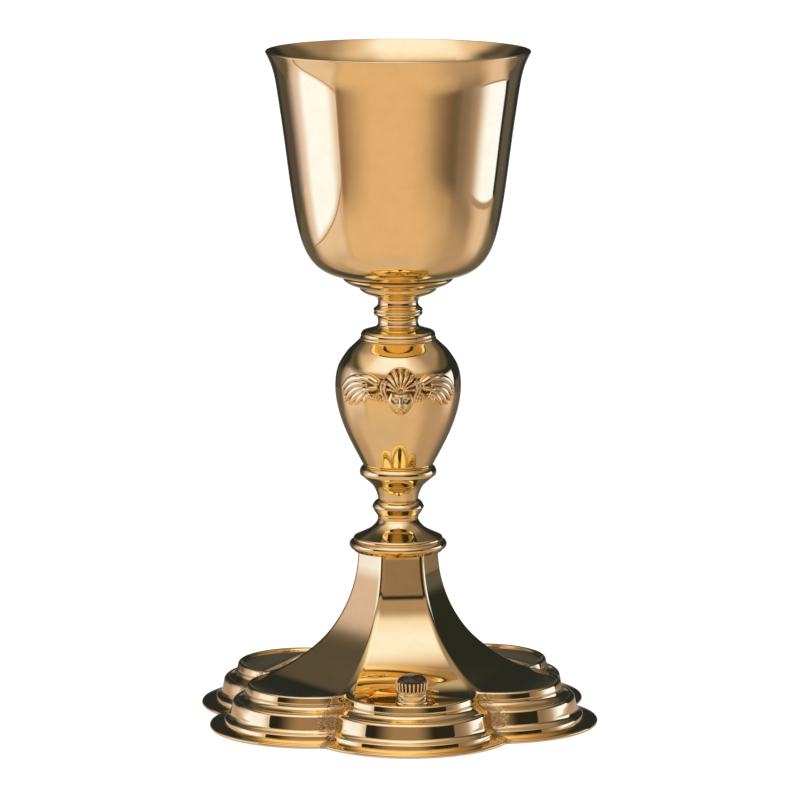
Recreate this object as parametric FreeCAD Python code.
"""Communion chalice, about 245 mm tall, as an assembly of turned, spun and pressed brass pieces.

Units are millimetres. Z points up, the resting plane is Z = 0, the stem's axis is the Z axis, and
the front of the chalice, where the stone is set, faces -Y. Sections are drawn as (radius, height).

The cup stands on a stack of stem pieces on a six-lobed foot. A tie rod, screwed into a boss under
the cup, runs down through the stack and is drawn tight by a nut up inside the foot.
"""
import math
import os

import FreeCAD
import Part

# ---------------------------------------------------------------- driving dimensions
HEIGHT = 245.0             # resting plane to lip
LIP_RADIUS = 48.2          # outside of the flared lip
CUP_WALL = 1.0             # spun cup
CUP_FLOOR = 162.0          # underside of the cup, where it stands on its seat

ROD_RADIUS = 3.0           # M6 tie rod, drawn at its outside diameter
ROD_BORE = 3.35            # clearance bore through every stem piece
THREAD_BORE = 3.05         # threaded bores, drawn plain at the rod's size
ROD_END = 40.0             # height of the rod's lower end

SPOOL_TOP = 153.2          # joint planes of the stem, from the cup down
CAP_TOP = 145.6
NODE_TOP = 139.2
NODE_BOTTOM = 92.6
RING_BOTTOM = 80.2
COLLAR_TOP = 72.8
COLLAR_BOTTOM = 64.9
NECK_TOP = 61.0            # top of the foot's hexagonal neck
NECK_RADIUS = 7.35         # the slim necks between the mouldings
NODE_WALL = 0.9            # pressed node

LOBES = 6                  # lobes of the foot, one of them facing the front
LOBE_CENTRE = 38.6         # distance of each lobe's centre from the stem's axis
FLANGE_RADIUS = 37.7       # radius of the flange's edge about the lobe's centre
PANEL_RADIUS = 24.0        # radius of a lobe's flat panel, under its raised rim
FOOT_WALL = 1.1            # pressed foot
PANEL_Z = 15.1             # height of the flat part of a lobe's panel
BAND_TOP = 12.9            # joint of the pressed top and the step band
FLANGE_TOP = 1.95          # joint of the step band and the flange

BUSH_BOTTOM = 55.0         # underside of the plug in the neck
WASHER_THICKNESS = 1.6
NUT_HEIGHT = 6.0           # M6 nut, 10 mm across flats

STONE_DISTANCE = 53.5      # stone setting's centre in front of the stem's axis
STONE_SIDE = -1.0          # and its small hand-set offset along X
COLLET_RADIUS = 5.6
GALLERY_BOTTOM = 19.4
GALLERY_TOP = 23.4
PRONGS = 24
STONE_TOP = 26.0
STUD_RADIUS = 1.25

FIGURE_TURN = -3.5         # degrees that the winged heads are turned about the stem's axis
HEAD_HEIGHT = 122.8        # middle of the winged head on the node
WING_TURN = 31.5           # degrees from the head to the middle of each wing
RELIEF = 1.2               # how far a wing stands off the node
PIN_RADIUS = 0.8           # pins that hold the winged heads, and their ends' radii
PIN_OUTER = 23.9
PIN_INNER = 18.6

AXIS = FreeCAD.Vector(0, 0, 1)
ORIGIN = FreeCAD.Vector(0, 0, 0)


# ---------------------------------------------------------------- drawing helpers
def at(x, z, y=0.0):
    """A point; a section is drawn in the X-Z plane."""
    return FreeCAD.Vector(x, y, z)


class Section:
    """A closed section in the X-Z plane, drawn span by span from a first point."""

    def __init__(self, r, z):
        self.first = at(r, z)
        self.last = self.first
        self.edges = []

    def line(self, *points):
        for r, z in points:
            end = at(r, z)
            self.edges.append(Part.LineSegment(self.last, end).toShape())
            self.last = end
        return self

    def arc(self, middle, end):
        self.edges.append(Part.Arc(self.last, at(*middle), at(*end)).toShape())
        self.last = at(*end)
        return self

    def curve(self, points):
        """A smooth curve from the last point through the given ones."""
        spline = Part.BSplineCurve()
        spline.interpolate([self.last] + [at(r, z) for r, z in points])
        self.edges.append(spline.toShape())
        self.last = at(*points[-1])
        return self

    def face(self):
        if self.last.distanceToPoint(self.first) > 1e-6:
            self.line((self.first.x, self.first.z))
        return Part.Face(Part.Wire(self.edges))

    def turned(self):
        return self.face().revolve(ORIGIN, AXIS, 360)


def offset(points, distance):
    """The points moved sideways, to the right of their direction of travel."""
    moved = []
    for i, (r, z) in enumerate(points):
        before = points[max(i - 1, 0)]
        after = points[min(i + 1, len(points) - 1)]
        dr = after[0] - before[0]
        dz = after[1] - before[1]
        length = math.hypot(dr, dz)
        moved.append((r + distance * dz / length, z - distance * dr / length))
    return moved


def cylinder(radius, bottom, top, x=0.0, y=0.0):
    return Part.makeCylinder(radius, top - bottom, FreeCAD.Vector(x, y, bottom), AXIS)


def tube(outer, inner, bottom, top, x=0.0, y=0.0):
    return cylinder(outer, bottom, top, x, y).cut(cylinder(inner, bottom - 1, top + 1, x, y))


def hexagon(across_flats, bottom, top, x=0.0, y=0.0):
    """A hexagonal prism with one flat facing -Y."""
    corner = across_flats / math.sqrt(3)
    angles = [math.radians(60 * i) for i in range(LOBES + 1)]
    points = [at(x + corner * math.cos(a), bottom, y + corner * math.sin(a)) for a in angles]
    return Part.Face(Part.makePolygon(points)).extrude(AXIS * (top - bottom))


def rotated(shape, degrees):
    turned = shape.copy()
    turned.rotate(ORIGIN, AXIS, degrees)
    return turned


def fused(shapes):
    whole = shapes[0].fuse(shapes[1:]) if len(shapes) > 1 else shapes[0]
    return whole.removeSplitter()


def export(name, shape):
    if shape.ShapeType == "Compound" and len(shape.Solids) == 1:
        shape = shape.Solids[0]
    shape.exportStep(f"parts/{name}.step")
    print(f"{name:16s} solids {len(shape.Solids)}  volume {shape.Volume:10.1f}  valid {shape.isValid()}")


# ---------------------------------------------------------------- cup and tie rod
CUP_SIDE = [(15.8, CUP_FLOOR), (19.0, 162.2), (21.8, 162.75), (25.6, 163.95), (30.0, 166.8), (33.6, 171.8),
            (36.4, 180.0), (38.3, 190.0), (41.4, 213.0), (43.85, 230.0), (46.1, 240.0),
            (LIP_RADIUS, HEIGHT - 0.5)]


def cup():
    inside = offset(CUP_SIDE, -CUP_WALL)
    crown = ((CUP_SIDE[-1][0] + inside[-1][0]) / 2, HEIGHT)
    floor = CUP_FLOOR + CUP_WALL
    section = Section(0, CUP_FLOOR).line(CUP_SIDE[0]).curve(CUP_SIDE[1:]).arc(crown, inside[-1])
    section.curve(inside[-2:0:-1] + [(CUP_SIDE[0][0], floor)]).line((0, floor))
    return section.turned()


def cup_boss():
    return cylinder(7.0, 156.4, CUP_FLOOR).cut(cylinder(THREAD_BORE, 150.0, CUP_FLOOR - 0.6))


def tie_rod():
    chamfer = 0.5
    top = CUP_FLOOR - 1.0
    section = Section(0, ROD_END).line((ROD_RADIUS - chamfer, ROD_END), (ROD_RADIUS, ROD_END + chamfer),
                                       (ROD_RADIUS, top - chamfer), (ROD_RADIUS - chamfer, top), (0, top))
    return section.turned()


# ---------------------------------------------------------------- turned stem pieces
def cup_seat():
    recess = 7.3
    section = Section(ROD_BORE, SPOOL_TOP).line((ROD_BORE, 156.0), (recess, 156.0), (recess, CUP_FLOOR),
                                                (15.5, CUP_FLOOR), (16.2, 161.85), (19.5, 161.95))
    section.arc((20.0, 161.7), (19.95, 161.3)).curve([(19.3, 160.7), (17.2, 159.5), (15.0, 158.8)])
    section.line((14.3, 158.6)).arc((14.1, 158.0), (13.5, 157.2))
    section.curve([(12.2, 156.4), (10.2, 155.7), (8.8, 155.2)])
    section.arc((7.7, 154.4), (NECK_RADIUS, SPOOL_TOP))
    return section.turned()


def upper_spool():
    section = Section(ROD_BORE, CAP_TOP).line((ROD_BORE, SPOOL_TOP), (NECK_RADIUS, SPOOL_TOP))
    section.arc((7.5, 152.1), (8.1, 151.3)).line((8.45, 151.0))
    section.arc((9.0, 150.3), (8.7, 149.65)).arc((8.95, 149.0), (8.5, 148.3)).line((8.2, 148.1))
    section.arc((7.5, 147.0), (NECK_RADIUS, CAP_TOP))
    return section.turned()


def node_cap():
    spigot = 12.3
    bottom = NODE_TOP - 2.0
    section = Section(ROD_BORE, bottom).line((ROD_BORE, CAP_TOP), (NECK_RADIUS, CAP_TOP))
    section.arc((7.75, 144.4), (9.2, 143.6)).line((12.0, 142.7)).arc((13.3, 142.0), (13.65, 140.7))
    section.line((13.45, 140.45)).arc((13.95, 139.9), (13.6, NODE_TOP))
    section.line((spigot, NODE_TOP), (spigot, bottom))
    return section.turned()


NODE_SIDE = [(12.6, NODE_BOTTOM), (15.5, 98.1), (18.8, 104.8), (21.3, 111.5), (22.76, 118.1), (23.06, 122.0),
             (22.64, 127.0), (21.75, 130.0), (20.1, 132.9), (17.8, 135.9), (16.2, 137.4), (14.3, NODE_TOP)]


def node_body():
    """The node's outer form, solid, for trimming what is fixed on it."""
    return Section(0, NODE_BOTTOM).line(NODE_SIDE[0]).curve(NODE_SIDE[1:]).line((0, NODE_TOP)).turned()


def node_shell(pin_holes):
    inside = offset(NODE_SIDE, -NODE_WALL)
    inside = [(11.6, NODE_BOTTOM)] + inside[1:-1] + [(12.5, NODE_TOP)]
    section = Section(*NODE_SIDE[0]).curve(NODE_SIDE[1:]).line(inside[-1]).curve(inside[-2::-1])
    return section.turned().cut(pin_holes)


def node_spacer():
    return tube(5.2, ROD_BORE, NODE_BOTTOM + 1.6, NODE_TOP - 2.0)


def node_base_ring():
    spigot = 11.3
    top = NODE_BOTTOM + 1.6
    section = Section(ROD_BORE, RING_BOTTOM).line((ROD_BORE, top), (spigot, top), (spigot, NODE_BOTTOM),
                                                  (12.8, NODE_BOTTOM))
    section.arc((13.85, 91.5), (14.05, 89.9)).line((13.9, 89.3), (13.4, 88.9))
    section.curve([(12.6, 88.25), (11.2, 87.05), (9.6, 85.6), (8.2, 83.3), (7.5, 81.2),
                   (NECK_RADIUS, RING_BOTTOM)])
    return section.turned()


def lower_spool():
    section = Section(ROD_BORE, COLLAR_TOP).line((ROD_BORE, RING_BOTTOM), (NECK_RADIUS, RING_BOTTOM))
    section.line((7.5, 79.9)).arc((8.7, 78.95), (9.4, 77.6)).arc((9.5, 77.2), (9.3, 76.85)).line((9.05, 76.4))
    section.curve([(8.35, 75.1), (7.6, 74.0), (NECK_RADIUS, COLLAR_TOP)])
    return section.turned()


def foot_collar():
    section = Section(ROD_BORE, COLLAR_BOTTOM).line((ROD_BORE, COLLAR_TOP), (NECK_RADIUS, COLLAR_TOP))
    section.curve([(7.75, 71.9), (8.8, 70.45), (10.5, 69.0), (13.2, 67.6), (15.6, 66.5)])
    section.arc((16.35, 65.9), (16.3, COLLAR_BOTTOM))
    return section.turned()


def collar_ring():
    spigot = 10.4
    bottom = NECK_TOP - 0.6
    section = Section(ROD_BORE, bottom).line((ROD_BORE, COLLAR_BOTTOM), (16.9, COLLAR_BOTTOM))
    section.arc((17.9, 63.5), (16.9, 61.9)).line((16.1, NECK_TOP), (spigot, NECK_TOP), (spigot, bottom))
    return section.turned()


# ---------------------------------------------------------------- foot
# Section of one flat side of the hexagonal trumpet: distance of the flat from the axis, and height.
TRUMPET_SIDE = [(13.0, NECK_TOP), (13.4, 55.5), (14.2, 50.3), (15.5, 45.3), (17.3, 40.3), (19.7, 35.4),
                (23.1, 30.2), (27.4, 25.5), (32.0, 21.6), (36.6, 18.5), (41.0, 16.5), (46.0, 15.3),
                (49.5, PANEL_Z)]


def sector():
    """The sixth of space that holds the front lobe."""
    reach = 120.0
    half_angle = math.radians(180.0 / LOBES)
    x = reach * math.sin(half_angle)
    y = -reach * math.cos(half_angle)
    corners = [at(0, -1), at(-x, -1, y), at(x, -1, y), at(0, -1)]
    return Part.Face(Part.makePolygon(corners)).extrude(AXIS * 80)


def around_lobe(points_face):
    """A section drawn as (radius about the lobe's centre, height), swept round the front lobe."""
    sweep = 200.0
    face = points_face.copy()
    face.rotate(ORIGIN, AXIS, -90 - sweep / 2)
    swept = face.revolve(ORIGIN, AXIS, sweep)
    swept.translate(FreeCAD.Vector(0, -LOBE_CENTRE, 0))
    return swept.common(sector())


def all_lobes(one):
    return fused([rotated(one, 360.0 / LOBES * i) for i in range(LOBES)])


def panel():
    """One side of the trumpet with its lobe's flat plate."""
    half_width = 45.0
    edge = 63.0
    inside = offset(TRUMPET_SIDE, FOOT_WALL)
    inside[0] = (inside[0][0], NECK_TOP)
    section = Section(*TRUMPET_SIDE[0]).curve(TRUMPET_SIDE[1:])
    section.line((edge, PANEL_Z), (edge, PANEL_Z - FOOT_WALL), (inside[-1][0], PANEL_Z - FOOT_WALL))
    section.curve(inside[-2::-1])
    face = section.face()
    face.rotate(ORIGIN, AXIS, -90)
    face.translate(FreeCAD.Vector(-half_width, 0, 0))
    slab = face.extrude(FreeCAD.Vector(2 * half_width, 0, 0))
    plan = cylinder(PANEL_RADIUS, 0, 80, 0, -LOBE_CENTRE).fuse(cylinder(40.0, 0, 80))
    return slab.common(sector()).common(plan)


def top_rim():
    """The raised bead round a lobe, turned down over the step band."""
    wall = FLANGE_RADIUS - 13.05
    section = Section(22.1, 14.6).arc((23.3, 15.95), (wall - 0.32, 15.1)).line((wall, BAND_TOP))
    section.line((wall - 1.1, BAND_TOP), (wall - 1.15, 14.1))
    return around_lobe(section.face())


def foot_top(stud_hole):
    whole = all_lobes(panel().fuse(top_rim()))
    return whole.cut(stud_hole)


def foot_step_band():
    def out(inset, z):
        return (FLANGE_RADIUS - inset, z)

    section = Section(*out(14.05, BAND_TOP)).line(out(13.05, BAND_TOP))
    section.arc(out(12.65, 11.9), out(11.6, 11.1)).line(out(10.4, 10.6)).arc(out(8.9, 10.35), out(8.2, 9.5))
    section.line(out(7.75, 6.0)).arc(out(7.3, 4.7), out(6.3, 3.9)).arc(out(5.8, 3.75), out(5.4, 3.3))
    section.line(out(5.2, FLANGE_TOP), out(6.5, FLANGE_TOP), out(6.6, 2.9), out(8.3, 4.0), out(8.8, 5.2))
    section.line(out(8.9, 8.7), out(9.6, 9.4), out(12.0, 10.2), out(13.7, 11.3))
    return all_lobes(around_lobe(section.face()))


def foot_flange():
    inner = FLANGE_RADIUS - 9.0
    step = FLANGE_RADIUS - 5.2
    section = Section(inner, 0).line((FLANGE_RADIUS - 0.7, 0))
    section.arc((FLANGE_RADIUS, 0.7), (FLANGE_RADIUS - 0.7, 1.4))
    section.line((step, FLANGE_TOP), (inner, FLANGE_TOP))
    return all_lobes(around_lobe(section.face()))


def foot_bush():
    """A six-sided plug soldered in the neck, which the clamp washer pulls against."""
    return hexagon(2 * 11.75, BUSH_BOTTOM, NECK_TOP - 0.6).cut(cylinder(ROD_BORE, 50, 70))


def clamp_washer():
    return tube(8.0, ROD_BORE, BUSH_BOTTOM - WASHER_THICKNESS, BUSH_BOTTOM)


def clamp_nut():
    top = BUSH_BOTTOM - WASHER_THICKNESS
    bottom = top - NUT_HEIGHT
    nut = hexagon(10.0, bottom, top)
    bevel = Section(0, bottom - 1).line((4.2, bottom - 1), (7.2, bottom + 1.0), (7.2, top - 1.0))
    bevel.line((4.2, top + 1), (0, top + 1))
    return nut.common(bevel.turned()).cut(cylinder(THREAD_BORE, bottom - 1, top + 1))


# ---------------------------------------------------------------- stone setting on the front lobe
def placed_on_lobe(shape):
    moved = shape.copy()
    moved.translate(FreeCAD.Vector(STONE_SIDE, -STONE_DISTANCE, 0))
    return moved


def stone_collet():
    floor = 17.4
    section = Section(0, PANEL_Z).line((COLLET_RADIUS + 0.2, PANEL_Z), (COLLET_RADIUS + 0.2, 16.3))
    section.line((COLLET_RADIUS - 0.1, 16.5), (COLLET_RADIUS - 0.25, 16.85), (COLLET_RADIUS, 17.05))
    section.line((COLLET_RADIUS, GALLERY_BOTTOM), (4.6, GALLERY_BOTTOM), (4.6, floor), (0, floor))
    hole = cylinder(STUD_RADIUS, PANEL_Z - 1, floor - 0.8)
    return placed_on_lobe(section.turned().cut(hole))


def stone_gallery():
    """A ring of wire prongs with rounded tips, closed at the foot by a pierced band."""
    inner = COLLET_RADIUS - 1.0
    slot_bottom = 20.9
    ring = tube(COLLET_RADIUS + 0.1, inner, GALLERY_BOTTOM, GALLERY_TOP)
    lean = Section(0, GALLERY_TOP + 1).line((6.0, GALLERY_TOP + 1), (5.9, slot_bottom))
    lean.line((COLLET_RADIUS, GALLERY_BOTTOM), (0, GALLERY_BOTTOM))
    ring = ring.common(lean.turned())
    slot_width = 0.62
    corner = FreeCAD.Vector(4.0, -slot_width / 2, slot_bottom)
    slot = Part.makeBox(3.0, slot_width, GALLERY_TOP - slot_bottom + 1, corner)
    slots = [rotated(slot, 360.0 / PRONGS * (i + 0.5)) for i in range(PRONGS)]
    return placed_on_lobe(ring.cut(slots))


def cabochon():
    """A domed stone: a straight girdle under a cap of a sphere centred on its own axis."""
    girdle = 4.5
    girdle_top = 22.3
    rise = STONE_TOP - girdle_top
    dome = (girdle ** 2 + rise ** 2) / (2 * rise)
    ball = Part.makeSphere(dome, at(0, STONE_TOP - dome))
    below_cap = cylinder(2 * dome, girdle_top - 3 * dome, girdle_top)
    return placed_on_lobe(cylinder(girdle, GALLERY_BOTTOM, girdle_top).fuse(ball.cut(below_cap)))


def stone_stud():
    return placed_on_lobe(cylinder(STUD_RADIUS - 0.02, 9.5, 16.6))


def stone_nut():
    plate_bottom = PANEL_Z - FOOT_WALL
    nut = hexagon(5.0, plate_bottom - 2.0, plate_bottom)
    return placed_on_lobe(nut.cut(cylinder(STUD_RADIUS, 5, 20)))


# ---------------------------------------------------------------- winged heads on the node
def feather(root, tip, width):
    """A round-ended strip in the X-Z plane from root to tip, thick along Y for trimming."""
    run = math.hypot(tip[0] - root[0], tip[1] - root[1])
    strip = Part.makeBox(run, 60, width, FreeCAD.Vector(0, -60, -width / 2))
    ends = [Part.makeCylinder(width / 2, 60, at(x, 0, -60), FreeCAD.Vector(0, 1, 0)) for x in (0, run)]
    whole = strip.fuse(ends)
    slant = math.degrees(math.atan2(tip[1] - root[1], tip[0] - root[0]))
    whole.rotate(ORIGIN, FreeCAD.Vector(0, -1, 0), slant)
    whole.translate(at(root[0], root[1]))
    return whole


def wing(side, node):
    """Five feathers fanned from a shoulder, lying on the node at one side of the head."""
    root = (-7.4, HEAD_HEIGHT + 1.4)
    tips = [(5.6, 2.9), (7.4, 0.9), (7.6, -1.2), (6.6, -3.3), (4.6, -5.0)]
    strips = [feather(root, (u, HEAD_HEIGHT + z), 2.5) for u, z in tips]
    plan = strips[0].fuse(strips[1:])
    if side < 0:
        plan = plan.mirror(ORIGIN, FreeCAD.Vector(1, 0, 0))
    plan = rotated(plan, side * WING_TURN)
    raised = offset(NODE_SIDE, RELIEF)
    skin = Section(0, raised[0][1]).line(raised[0]).curve(raised[1:]).line((0, raised[-1][1])).turned()
    return skin.common(plan).cut(node)


def head(node):
    """The head with its fan of hair: an egg sunk in the node's side."""
    egg = Part.makeSphere(1.0, ORIGIN, AXIS)
    shape = FreeCAD.Matrix()
    shape.scale(5.3, 5.2, 8.0)
    egg = egg.transformGeometry(shape)
    egg.translate(FreeCAD.Vector(0, -21.4, HEAD_HEIGHT))
    return egg.cut(node)


def winged_head(turn):
    node = node_body()
    whole = head(node).fuse([wing(1, node), wing(-1, node)])
    return rotated(whole, turn)


def pin_rows(radius, inner, outer):
    """Two pins a side, behind the wings, on the front and the back of the node."""
    pins = []
    for turn in (0, 180):
        for side in (-1, 1):
            foot = at(0, HEAD_HEIGHT, -outer)
            pin = Part.makeCylinder(radius, outer - inner, foot, FreeCAD.Vector(0, 1, 0))
            pins.append(rotated(pin, turn + FIGURE_TURN + side * WING_TURN))
    return pins


def cherub(turn):
    blind_holes = pin_rows(PIN_RADIUS, PIN_INNER, PIN_OUTER)
    return winged_head(turn + FIGURE_TURN).cut(blind_holes)


def cherub_pins():
    return Part.makeCompound(pin_rows(PIN_RADIUS - 0.02, PIN_INNER, PIN_OUTER - 0.05))


def cherub_nuts():
    nuts = pin_rows(1.7, 20.3, 21.6)
    bores = pin_rows(PIN_RADIUS, 15.0, 25.0)
    return Part.makeCompound([nut.cut(bores) for nut in nuts])


# ---------------------------------------------------------------- the whole chalice
def main():
    os.makedirs("parts", exist_ok=True)
    stud_hole = placed_on_lobe(cylinder(STUD_RADIUS, 5, 25))
    pin_holes = pin_rows(PIN_RADIUS, 15.0, 27.0)
    pieces = {
        "cup": cup(),
        "cup_boss": cup_boss(),
        "tie_rod": tie_rod(),
        "cup_seat": cup_seat(),
        "upper_spool": upper_spool(),
        "node_cap": node_cap(),
        "node_shell": node_shell(pin_holes),
        "node_spacer": node_spacer(),
        "node_base_ring": node_base_ring(),
        "lower_spool": lower_spool(),
        "foot_collar": foot_collar(),
        "collar_ring": collar_ring(),
        "foot_top": foot_top(stud_hole),
        "foot_step_band": foot_step_band(),
        "foot_flange": foot_flange(),
        "foot_bush": foot_bush(),
        "clamp_washer": clamp_washer(),
        "clamp_nut": clamp_nut(),
        "stone_collet": stone_collet(),
        "stone_gallery": stone_gallery(),
        "cabochon": cabochon(),
        "stone_stud": stone_stud(),
        "stone_nut": stone_nut(),
        "cherub_front": cherub(0),
        "cherub_back": cherub(180),
        "cherub_pins": cherub_pins(),
        "cherub_nuts": cherub_nuts(),
    }
    for name, shape in pieces.items():
        export(name, shape)


main()
